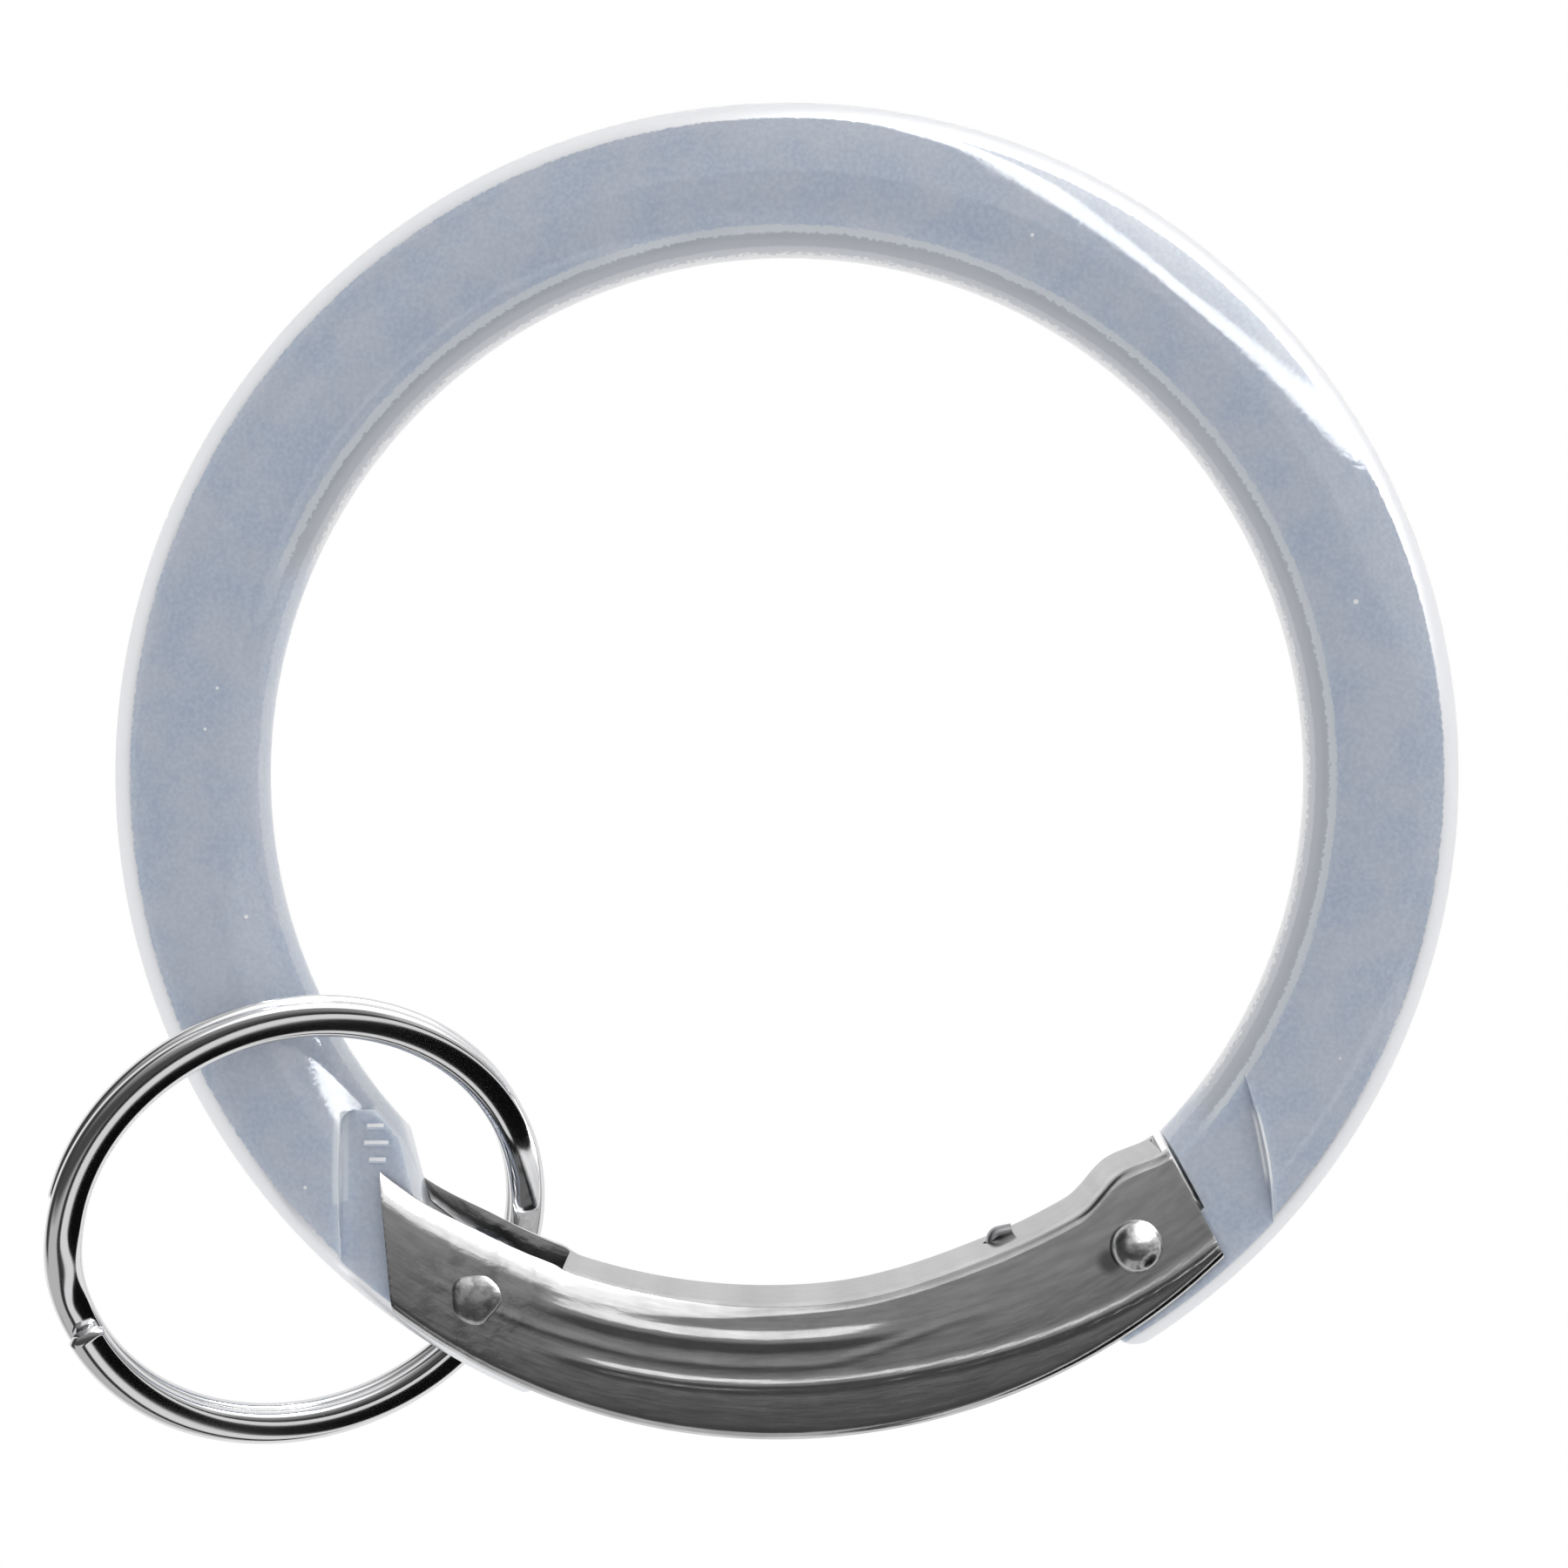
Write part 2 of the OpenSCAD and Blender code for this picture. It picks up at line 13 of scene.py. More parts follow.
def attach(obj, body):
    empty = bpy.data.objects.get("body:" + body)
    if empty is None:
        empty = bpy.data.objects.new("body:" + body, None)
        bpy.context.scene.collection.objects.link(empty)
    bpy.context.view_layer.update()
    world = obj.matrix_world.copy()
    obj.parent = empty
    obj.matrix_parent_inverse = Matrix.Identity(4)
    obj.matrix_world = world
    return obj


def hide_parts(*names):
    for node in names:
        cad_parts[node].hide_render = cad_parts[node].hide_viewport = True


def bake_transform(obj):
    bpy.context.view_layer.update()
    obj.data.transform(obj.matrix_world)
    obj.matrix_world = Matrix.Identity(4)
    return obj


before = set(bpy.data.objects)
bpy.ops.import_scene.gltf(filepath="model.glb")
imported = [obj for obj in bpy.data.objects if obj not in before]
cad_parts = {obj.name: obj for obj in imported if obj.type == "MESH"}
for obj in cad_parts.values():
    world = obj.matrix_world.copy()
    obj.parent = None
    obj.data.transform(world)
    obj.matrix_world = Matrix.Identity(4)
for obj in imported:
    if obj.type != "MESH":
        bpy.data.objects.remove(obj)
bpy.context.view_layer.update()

MM = 0.001

THROUGH = 9.0  # half the height of a cutter that goes right through

# the loop's bar
LOOP_R, BAR_W, BAR_T = 35.0, 8.0, 6.8
BAR_MID = LOOP_R - BAR_W / 2

# the gate: a folded sheet whose web and edges are arcs about their own centres
GATE_W, SHEET, FLANGE_GAP = 6.0, 0.5, 0.2
TANG_T = GATE_W - 2 * SHEET - 2 * FLANGE_GAP
WEB_BACK, EDGE_BACK = 0.43, 0.55
WEB_IN = LOOP_R - BAR_W + WEB_BACK
FLANGE_H = BAR_W - WEB_BACK - EDGE_BACK
WEB_C, EDGE_C = (-0.43, 4.45), (0.0, -1.6)
WEB_R = WEB_IN + WEB_C[1]
EDGE_R = LOOP_R - EDGE_BACK + EDGE_C[1]
PIVOT_A, LATCH_A = -30.7, 35.8
GATE_REST = 1.15
FREE_A, FREE_LEAN = 42.8, 16.0
NOTCH_A = 20.3
HINGE_REACH, HINGE_LEAN = 4.35, 4.2
INSIDE_Z = GATE_W / 2 - SHEET - 0.05
LIP_D, LIP_W = 0.62, 0.49
CROWN, CROWN_AT = 0.012, 3.2

# the rivets, with the clearance of their bores in the loop and of their holes in the gate
SHANK_R, HEAD_R, HEAD_H = 0.9, 1.28, 0.2
LATCH_SHANK_R, LATCH_HEAD_R, LATCH_DOME_H, LATCH_BACK_H = 0.8, 1.37, 0.84, 0.34
BORE_GAP, HOLE_GAP = 0.06, 0.03

# the spring's wire, coil and short leg
WIRE_R, COIL_GAP = 0.3, 0.2
COIL_R, COIL_TURNS, COIL_PITCH = SHANK_R + COIL_GAP + WIRE_R, 2.5, 0.66
COIL_H = COIL_TURNS * COIL_PITCH
LEG, GROOVE_GAP, HOOK_GAP = 2.2, 0.05, 0.15


def unit(a):
    """The point one away from the middle, a degrees from +X."""
    return math.cos(math.radians(a)), math.sin(math.radians(a))


def polar(r, a):
    """The point r away from the middle, a degrees from -Y towards +X."""
    a = math.radians(a)
    return (r * math.sin(a), -r * math.cos(a))


def add(p, q):
    return (p[0] + q[0], p[1] + q[1])


def turned(p, about, a):
    c, s = unit(a)
    x, y = p[0] - about[0], p[1] - about[1]
    return (about[0] + x * c - y * s, about[1] + x * s + y * c)


PIVOT = polar(LOOP_R - 3.8, PIVOT_A)
LATCH = polar(LOOP_R - 4.4, LATCH_A)
LATCH_SHUT = turned(LATCH, PIVOT, GATE_REST)
FREE_MID = polar(WEB_IN + FLANGE_H / 2, FREE_A)
FREE_MID_SHUT = turned(FREE_MID, PIVOT, GATE_REST)
FREE_SHUT_A = FREE_A - FREE_LEAN + GATE_REST

# the loop's two ends: the tang's slot, toe and pocket, and the nose's step
SLOT_R = COIL_R + WIRE_R + COIL_GAP
SLOT_H = (COIL_H + 2 * WIRE_R + COIL_GAP) / 2
TANG_REACH = 1.7
TOE_X, TOE_R = PIVOT[0] + 2.95, 0.9
POCKET_REACH, POCKET_RISE, POCKET_CORNER_R = 6.94, 9.6, 0.7
RIB_R = 0.17
RIBS = [
    (PIVOT[0] - 5.2 + 0.05 * i, PIVOT[1] + POCKET_RISE - 0.85 - 0.87 * i, length)
    for i, length in enumerate((0.9, 1.3, 0.9))
]
NOSE_STEP_R = math.hypot(FREE_MID[0] - PIVOT[0], FREE_MID[1] - PIVOT[1]) + 3.86

# the spring's arm lies along the web, and its hook stands out through it
SPRING_BASE = math.degrees(math.atan((PIVOT[0] - WEB_C[0]) / (WEB_C[1] - PIVOT[1])))
HOOK_A, HOOK_H, HOOK_BEND, HOOK_TIP, HOOK_DIP = 20.8, 0.65, 0.45, 0.7, 10


# ---------------------------------------------------------------- helpers

def smooth(t):
    t = min(max(t, 0.0), 1.0)
    return t * t * (3 - 2 * t)


def only(o):
    bpy.ops.object.select_all(action="DESELECT")
    bpy.context.view_layer.objects.active = o
    o.select_set(True)


def just_added(name):
    """The piece that was added last, named, with its place in its mesh."""
    o = bpy.context.object
    o.name = o.data.name = name
    only(o)
    bpy.ops.object.transform_apply(location=True, rotation=True, scale=True)
    return o


def edit_all(o):
    """Edit mode, with all of the piece selected."""
    only(o)
    bpy.ops.object.mode_set(mode="EDIT")
    bpy.ops.mesh.select_all(action="SELECT")


def end_edit():
    """Turns all faces outward, and leaves edit mode."""
    bpy.ops.mesh.select_all(action="SELECT")
    bpy.ops.mesh.normals_make_consistent(inside=False)
    bpy.ops.object.mode_set(mode="OBJECT")


def plate(name, outline, z0, z1):
    """A plate: its outline drawn at z0 from a disc, and pulled up to z1."""
    bpy.ops.mesh.primitive_circle_add(vertices=len(outline), radius=MM, fill_type="NGON")
    o = just_added(name)
    for corner, (x, y) in zip(o.data.vertices, outline):
        corner.co = (x * MM, y * MM, z0 * MM)
    edit_all(o)
    bpy.ops.mesh.extrude_region_move(TRANSFORM_OT_translate={"value": (0, 0, (z1 - z0) * MM)})
    end_edit()
    return o


def bar_up(name, c, r, z0, z1, sides):
    """A round bar along Z."""
    place = (c[0] * MM, c[1] * MM, (z0 + z1) / 2 * MM)
    bpy.ops.mesh.primitive_cylinder_add(vertices=sides, radius=r * MM, depth=(z1 - z0) * MM, location=place)
    return just_added(name)


def bar_flat(name, p, q, r, z):
    """A round bar from p to q at height z."""
    place = ((p[0] + q[0]) / 2 * MM, (p[1] + q[1]) / 2 * MM, z * MM)
    heading = math.atan2(q[1] - p[1], q[0] - p[0])
    bpy.ops.mesh.primitive_cylinder_add(
        vertices=24, radius=r * MM, depth=math.hypot(q[0] - p[0], q[1] - p[1]) * MM,
        location=place, rotation=(0, math.pi / 2, heading))
    return just_added(name)


def block_beside(name, p, a, side):
    """A big block on one side of the line through p that leans a degrees to the left."""
    long, high = 60.0, 80.0
    c, s = unit(a)
    x, y = add(p, (side * long / 2 * c, side * long / 2 * s))
    bpy.ops.mesh.primitive_cube_add(
        size=1, location=(x * MM, y * MM, 0), rotation=(0, 0, math.radians(a)),
        scale=(long * MM, high * MM, 2 * THROUGH * MM))
    return just_added(name)


def sheet_through(name, rows):
    """A closed body through rows of points, each row a closed section, capped at both ends."""
    n, m = len(rows), len(rows[0])
    faces = [tuple(range(m - 1, -1, -1)), tuple((n - 1) * m + j for j in range(m))]
    for i in range(n - 1):
        for j in range(m):
            k = (j + 1) % m
            faces.append((i * m + j, i * m + k, (i + 1) * m + k, (i + 1) * m + j))
    mesh = bpy.data.meshes.new(name)
    mesh.from_pydata([(x * MM, y * MM, z * MM) for row in rows for x, y, z in row], [], faces)
    o = bpy.data.objects.new(name, mesh)
    bpy.context.scene.collection.objects.link(o)
    edit_all(o)
    end_edit()
    return o


def arc(c, r, a0, a1, n):
    """Points on a circle, from a0 to a1 degrees, counted from +X."""
    points = []
    for i in range(n + 1):
        x, y = unit(a0 + (a1 - a0) * i / n)
        points.append((c[0] + r * x, c[1] + r * y))
    return points


def boolean(o, tool, operation="DIFFERENCE"):
    only(o)
    m = o.modifiers.new("cut", "BOOLEAN")
    m.operation, m.object, m.solver = operation, tool, "EXACT"
    bpy.ops.object.modifier_apply(modifier=m.name)
    bpy.data.objects.remove(tool, do_unlink=True)


def bevel(o, width, segments, angle):
    only(o)
    m = o.modifiers.new("bevel", "BEVEL")
    m.width, m.segments, m.limit_method = width * MM, segments, "ANGLE"
    m.angle_limit = math.radians(angle)
    m.miter_outer = "MITER_ARC"
    bpy.ops.object.modifier_apply(modifier=m.name)


def merge_slivers(o, distance):
    edit_all(o)
    bpy.ops.mesh.remove_doubles(threshold=distance * MM)
    bpy.ops.mesh.select_all(action="SELECT")
    bpy.ops.mesh.dissolve_degenerate(threshold=distance * MM)
    bpy.ops.object.mode_set(mode="OBJECT")


def shade(o, angle):
    only(o)
    bpy.ops.object.shade_smooth_by_angle(angle=math.radians(angle))


def turn(o, about, a):
    """Turns a piece about a line along Z."""
    only(o)
    x, y = about[0] * MM, about[1] * MM
    o.matrix_world = Matrix.Translation((x, y, 0)) @ Matrix.Rotation(math.radians(a), 4, "Z") \
        @ Matrix.Translation((-x, -y, 0))
    bpy.ops.object.transform_apply(location=True, rotation=True, scale=True)


def finish_piece(o, body, node, finish):
    o.data.materials.clear()
    o.data.materials.append(finish)
    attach(o, body)
    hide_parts(node)


# ---------------------------------------------------------------- loop

def make_bar():
    """The bar: an oval stood on end and spun from beyond the nose round to beyond the hinge tang."""
    start, end = -90 + 25.0, 270 - 18.0
    x, y = unit(start)
    bpy.ops.mesh.primitive_circle_add(vertices=72, radius=MM, fill_type="NGON")
    section = bpy.context.object
    section.scale = (BAR_W / 2, BAR_T / 2, 1)
    section.rotation_euler = (math.pi / 2, 0, math.radians(start))
    section.location = (BAR_MID * x * MM, BAR_MID * y * MM, 0)
    bar = just_added("loop_piece")
    edit_all(bar)
    bpy.ops.mesh.spin(steps=380, angle=math.radians(end - start), center=(0, 0, 0), axis=(0, 0, -1))
    end_edit()
    return bar


def make_loop():
    loop = make_bar()
    shape_nose(loop)
    boolean(loop, plate("side", tang_side(), -TANG_T / 2 - 0.3, TANG_T / 2 + 0.3), "UNION")
    boolean(loop, plate("cutter", tang_cut(), -THROUGH, THROUGH))
    for z0, z1 in ((-THROUGH, -TANG_T / 2), (TANG_T / 2, THROUGH)):
        boolean(loop, plate("cutter", nose_recess(), z0, z1))
        boolean(loop, plate("cutter", pocket(), z0, z1))
    merge_slivers(loop, 0.004)
    bevel(loop, 0.14, 3, 38)
    bore_tang(loop)
    for x, y, length in RIBS:
        rib = bar_flat("rib", (x - length / 2, y), (x + length / 2, y), RIB_R, TANG_T / 2)
        boolean(loop, rib, "UNION")
    return loop


def shape_nose(loop):
    """Cuts the nose: all that lies below the tongue's inner side and left of its round end goes."""
    tongue_in = math.hypot(*LATCH_SHUT) + LATCH_SHANK_R + BORE_GAP
    tongue_mid = (tongue_in + LOOP_R) / 2
    tip_r = (LOOP_R - tongue_in) / 2
    tip_a = 30.2 + math.degrees(math.asin(tip_r / tongue_mid))
    tip_c = polar(tongue_mid, tip_a)
    over = free_line(FREE_MID_SHUT, 0.3)
    boolean(loop, plate("cutter", nose_cut(tongue_in, tip_a, tip_c, tip_r, over), -THROUGH, THROUGH))


def bore_tang(loop):
    """The pivot's bore, the spring's slot, open below and to the loop's inside, and its groove."""
    boolean(loop, bar_up("cutter", PIVOT, SHANK_R + BORE_GAP, -THROUGH, THROUGH, 48))
    boolean(loop, bar_up("cutter", PIVOT, SLOT_R, -SLOT_H, SLOT_H, 64))
    x, y = PIVOT
    low, high = y - 0.8, y + 3.4
    mouth = [(x, low), (TOE_X + 1, low), (TOE_X + 1, high), (x, high)]
    boolean(loop, plate("cutter", mouth, -SLOT_H, SLOT_H))
    side = [(-SLOT_R, 0), (SLOT_R, 0), (SLOT_R, 3.4), (-SLOT_R, 3.4)]
    side = [turned(add(PIVOT, q), PIVOT, PIVOT_A) for q in side]
    boolean(loop, plate("cutter", side, -SLOT_H, SLOT_H))
    boolean(loop, leg_groove())


def tang_side():
    """Outline of the hinge tang's squarer side, towards the loop's inside."""
    y = PIVOT[1] + POCKET_RISE - 0.02
    inner, outer = LOOP_R - BAR_W + 0.35, BAR_MID
    a_in = 180 + math.degrees(math.asin(-y / inner))
    a_out = 180 + math.degrees(math.asin(-y / outer))
    return arc((0, 0), inner, a_in, 256, 40) + arc((0, 0), outer, 256, a_out, 20)


def leg_groove():
    """The groove that holds the spring's short leg."""
    lean = SPRING_BASE + GATE_REST
    start = turned(add(PIVOT, (0, -COIL_R)), PIVOT, lean)
    end = turned(add(PIVOT, (LEG + GROOVE_GAP, -COIL_R)), PIVOT, lean)
    return bar_flat("cutter", start, end, WIRE_R + GROOVE_GAP, COIL_H / 2)


def free_line(p, gap):
    """Two points on the line just past the shut gate's free end, low end first."""
    c, s = unit(FREE_SHUT_A)
    x, y = add(p, (gap * c, gap * s))
    half = 12.0
    return [(x + half * s, y - half * c), (x - half * s, y + half * c)]


def nose_cut(tongue_in, tip_a, tip_c, tip_r, over):
    """Outline of what is missing round the nose tongue."""
    # where the line of the gate's free end crosses the tongue's inner side
    (x0, y0), (x1, y1) = over
    steps = 2000
    best = min(
        (abs(math.hypot(x0 + (x1 - x0) * t / steps, y0 + (y1 - y0) * t / steps) - tongue_in), t)
        for t in range(steps + 1)
    )[1]
    cross = (x0 + (x1 - x0) * best / steps, y0 + (y1 - y0) * best / steps)
    cross_a = math.degrees(math.atan2(cross[1], cross[0]))
    start = -90 + tip_a
    points = [over[1]]
    points += arc((0, 0), tongue_in, cross_a, start, 24)
    points += arc(tip_c, tip_r, start + 180, start + 360, 24)[1:-1]
    points += [polar(LOOP_R + 4, tip_a), polar(LOOP_R + 6, 15), polar(20, 15)]
    return points


def tang_cut():
    """Outline of what is missing round the hinge tang."""
    toe_c = (TOE_X - TOE_R, -math.sqrt((LOOP_R - TOE_R) ** 2 - (TOE_X - TOE_R) ** 2))
    toe_a = math.degrees(math.atan2(toe_c[1], toe_c[0]))
    inner = math.hypot(*PIVOT) - TANG_REACH
    # the shoulder's line runs down and to the right until it meets the tang's inner side
    top = (PIVOT[0] - 4.25, PIVOT[1] + 9.0)
    slope = math.tan(math.radians(14.5))
    drop = 0.0
    while math.hypot(top[0] + drop * slope, top[1] - drop) < inner:
        drop += 0.0015
    hit = (top[0] + drop * slope, top[1] - drop)
    a_hit = math.degrees(math.atan2(hit[1], hit[0])) % 360
    a_end = math.degrees(math.atan2(-math.sqrt(inner**2 - TOE_X**2), TOE_X)) % 360
    points = [(top[0] - 6 * slope, top[1] + 6)]
    points += arc((0, 0), inner, a_hit, a_end, 24)
    points += arc(toe_c, TOE_R, 0, toe_a, 12)
    x, y = unit(toe_a)
    points += [add(toe_c, (3 * x, 3 * y)), (-4, -42), (-4, -14)]
    return points


def nose_recess():
    """Outline of the step that the gate's flanges close over at the nose."""
    pts = arc(PIVOT, NOSE_STEP_R, -35, 40, 90)
    return pts + [(PIVOT[0] + 20, PIVOT[1] + 25), (PIVOT[0] + 20, PIVOT[1] - 20)]


def pocket():
    """Outline of the recess that the gate's flanges turn in at the hinge."""
    x0, y1 = PIVOT[0] - POCKET_REACH, PIVOT[1] + POCKET_RISE
    corner = arc((x0 + POCKET_CORNER_R, y1 - POCKET_CORNER_R), POCKET_CORNER_R, 180, 90, 10)
    return [(x0, -42)] + corner + [(-2, y1), (-2, -42)]


# ---------------------------------------------------------------- gate

def edge_radius(a):
    """From the web's centre to the flanges' outer edge, at angle a."""
    dx, dy = polar(1, a)
    ox, oy = WEB_C[0] - EDGE_C[0], WEB_C[1] - EDGE_C[1]
    b = ox * dx + oy * dy
    return -b + math.sqrt(b * b - (ox * ox + oy * oy - EDGE_R**2))


def between(a, a0, a1, v0, v1):
    """From v0 at a0 to v1 at a1, smoothly."""
    return v0 + (v1 - v0) * smooth((a - a0) / (a1 - a0))


def bead_height(d, a):
    """How far the flange stands proud, d from the web at angle a."""
    h = 0.0
    # each bead's height, as it rises and runs out along the gate
    upper = 0.1 * smooth((a + 26) / 12) * smooth((14 - a) / 10)
    lower = 0.085 * smooth((a + 21) / 8)
    faint = 0.03 * smooth((a + 32) / 10) * smooth((20 - a) / 8)
    # each bead's distance from the web, half its width and its height
    for at, half, high in (
        (1.9, 0.66, upper),
        (between(a, 6, 36, 4.15, 4.95), 0.42, lower),
        (between(a, 2, 16, 3.15, 2.2), 0.3, faint),
    ):
        t = (d - at) / half
        if abs(t) < 1:
            h += high * (math.cos(t * math.pi) + 1) / 2
    return h - CROWN * (d - CROWN_AT) ** 2


def swell(a):
    """How far the web stands in, at angle a: ears beside the notch, a drift and the thumb swell."""
    ears = between(a, -NOTCH_A + 1, -NOTCH_A - 1, 0, 0.25) - between(a, -28, -36, 0, 0.25)
    up = between(a, 4, 21, 0, 0.38) + ears
    t = abs(a - 34.3) / 5.4
    return up + (0.62 * (1 - smooth(t)) if t < 1 else 0.0)


def half_section(a, fold_in, fold_out):
    """Half of the sheet's section at angle a, from the web's middle round the lip and back.

    Each point is (d, z), with d counted outward from the web's outside.
    """
    edge = edge_radius(a) - WEB_R
    up = swell(a)
    w = GATE_W / 2
    n_web, n_fold, n_flange, n_lip = 4, 10, 36, 6
    inside = max(fold_out + up - SHEET, 0.15)
    drop = CROWN * (fold_out - CROWN_AT) ** 2
    outer, inner = [], []
    for i in range(n_web):
        outer.append((-up, (w - fold_in) * i / n_web))
        inner.append((SHEET - up, (w - fold_in) * i / n_web))
    for i in range(n_fold):
        c, s = unit(90 * i / n_fold)
        outer.append((-up + (fold_out + up) * (1 - c), w - fold_in + (fold_in - drop) * s))
        inner.append((SHEET - up + inside * (1 - c), w - fold_in + (fold_in - SHEET - drop) * s))
    for i in range(n_flange + 1):
        d = fold_out + (edge - LIP_D - fold_out) * i / n_flange
        outer.append((d, w + bead_height(d, a)))
        inner.append((max(d, SHEET - up + inside), w - SHEET + bead_height(d, a)))
    rim = bead_height(edge - LIP_D, a)
    for i in range(1, n_lip + 1):
        c, s = unit(90 * i / n_lip)
        outer.append((edge - LIP_D + LIP_D * s, w + rim - LIP_W * (1 - c)))
    return outer + inner[::-1]


def gate_row(a):
    """One closed section of the gate's sheet, at angle a: a soft fold in front, a crisper one behind."""
    front = half_section(a, 0.9, between(a, -20, 4, 1.7, 0.55 - swell(a) * 0.9))
    back = half_section(a, 0.6, 0.55)
    ring = front + [(d, -z) for d, z in back[::-1][1:-1]]
    return [(*add(WEB_C, polar(WEB_R + d, a)), z) for d, z in ring]


def make_gate():
    start, end, steps = -42.0, 46.0, 200
    rows = [gate_row(start + (end - start) * i / steps) for i in range(steps + 1)]
    gate = sheet_through("gate_piece", rows)
    boolean(gate, block_beside("cutter", FREE_MID, FREE_A - FREE_LEAN, 1))
    boolean(gate, block_beside("cutter", add(PIVOT, (-HINGE_REACH, 0)), HINGE_LEAN, -1))
    # the web's notch over the hinge tang
    notch = arc(WEB_C, WEB_R + 1.1, -90 - NOTCH_A - 30, -90 - NOTCH_A, 24)
    notch += arc(WEB_C, WEB_R - 1.5, -90 - NOTCH_A, -90 - NOTCH_A - 30, 24)
    boolean(gate, plate("cutter", notch, -INSIDE_Z, INSIDE_Z))
    # the web stops short of the flanges at the free end
    r = math.hypot(FREE_MID[0] - PIVOT[0], FREE_MID[1] - PIVOT[1]) - 1.3
    boolean(gate, plate("cutter", web_end_points(r), -INSIDE_Z, INSIDE_Z))
    # holes for the rivets and the spring's hook
    for c, r in ((PIVOT, SHANK_R + HOLE_GAP), (LATCH, LATCH_SHANK_R + HOLE_GAP)):
        boolean(gate, bar_up("cutter", c, r, -THROUGH, THROUGH, 40))
    above, below = (add(WEB_C, polar(WEB_R + d, HOOK_A)) for d in (-1, 1.2))
    boolean(gate, bar_flat("cutter", above, below, WIRE_R + HOOK_GAP, -COIL_H / 2))
    merge_slivers(gate, 0.006)
    bevel(gate, 0.06, 2, 40)
    turn(gate, PIVOT, GATE_REST)
    return gate


def web_end_points(r):
    """Outline of what the web lacks at the free end: inside the web's curve, beyond r from the pivot."""
    curve = []
    steps = 120
    for i in range(steps + 1):
        p = add(WEB_C, polar(WEB_R + 0.9, 30 + 22 * i / steps))
        if math.hypot(p[0] - PIVOT[0], p[1] - PIVOT[1]) >= r:
            curve.append(p)
    a0 = math.degrees(math.atan2(curve[0][1] - PIVOT[1], curve[0][0] - PIVOT[0]))
    return curve[::-1] + arc(PIVOT, r, a0, a0 + 9, 16) + [add(PIVOT, (r + 8, 16))]


# ---------------------------------------------------------------- rivets

def build_up(name, c, profile):
    """A turned piece, built up from a disc: each ring is pulled out of the last one and resized."""
    r, z = profile[0]
    bpy.ops.mesh.primitive_circle_add(vertices=64, radius=r * MM, fill_type="NGON", location=(0, 0, z * MM))
    o = just_added(name)
    edit_all(o)
    for (r0, z0), (r1, z1) in zip(profile, profile[1:]):
        bpy.ops.mesh.extrude_region_move(TRANSFORM_OT_translate={"value": (0, 0, (z1 - z0) * MM)})
        bpy.ops.transform.resize(value=(r1 / r0, r1 / r0, 1), center_override=(0, 0, z1 * MM))
    end_edit()
    o.location = (c[0] * MM, c[1] * MM, 0)
    bpy.ops.object.transform_apply(location=True)
    return o


def dome(r, h, z, side, n=14):
    """Profile of a low dome from its rim to its top; side is +1 or -1."""
    rings = []
    for i in range(n + 1):
        c, s = unit(90 * i / n)
        rings.append((max(r * c, 0.002), z + side * h * s))
    return rings


def rivet_profile(r, back, front):
    """Back head, shank and front head as (radius, z), from axis to axis."""
    end = GATE_W / 2 - 0.02
    return back[::-1] + [(r, -end), (r, end)] + front


def batter(o, c):
    """Knocks the rivet's heads a little out of round and out of true."""
    for v in o.data.vertices:
        x, y, z = v.co.x / MM - c[0], v.co.y / MM - c[1], v.co.z / MM
        if abs(z) > GATE_W / 2 - 0.01:
            a, r = math.atan2(y, x), math.hypot(x, y)
            k = 1 + 0.05 * math.sin(3 * a + 0.6) + 0.03 * math.sin(5 * a + 2)
            dent = math.copysign(0.05, z) * math.sin(2 * a + 1.1) * (r / 1.35) ** 2
            v.co = ((c[0] + x * k) * MM, (c[1] + y * k) * MM, (z + dent) * MM)


def make_pivot():
    w = GATE_W / 2
    profile = rivet_profile(SHANK_R, dome(HEAD_R, HEAD_H, -w, -1), dome(HEAD_R, HEAD_H, w, 1))
    o = build_up("pivot_piece", PIVOT, profile)
    batter(o, PIVOT)
    return o


def make_latch():
    w = GATE_W / 2
    back = dome(LATCH_HEAD_R, LATCH_BACK_H, -w, -1)
    front = dome(LATCH_HEAD_R, LATCH_DOME_H, w, 1, 20)
    profile = rivet_profile(LATCH_SHANK_R, back, front)
    o = build_up("latch_piece", LATCH, profile)
    turn(o, PIVOT, GATE_REST)
    return o


# ---------------------------------------------------------------- spring

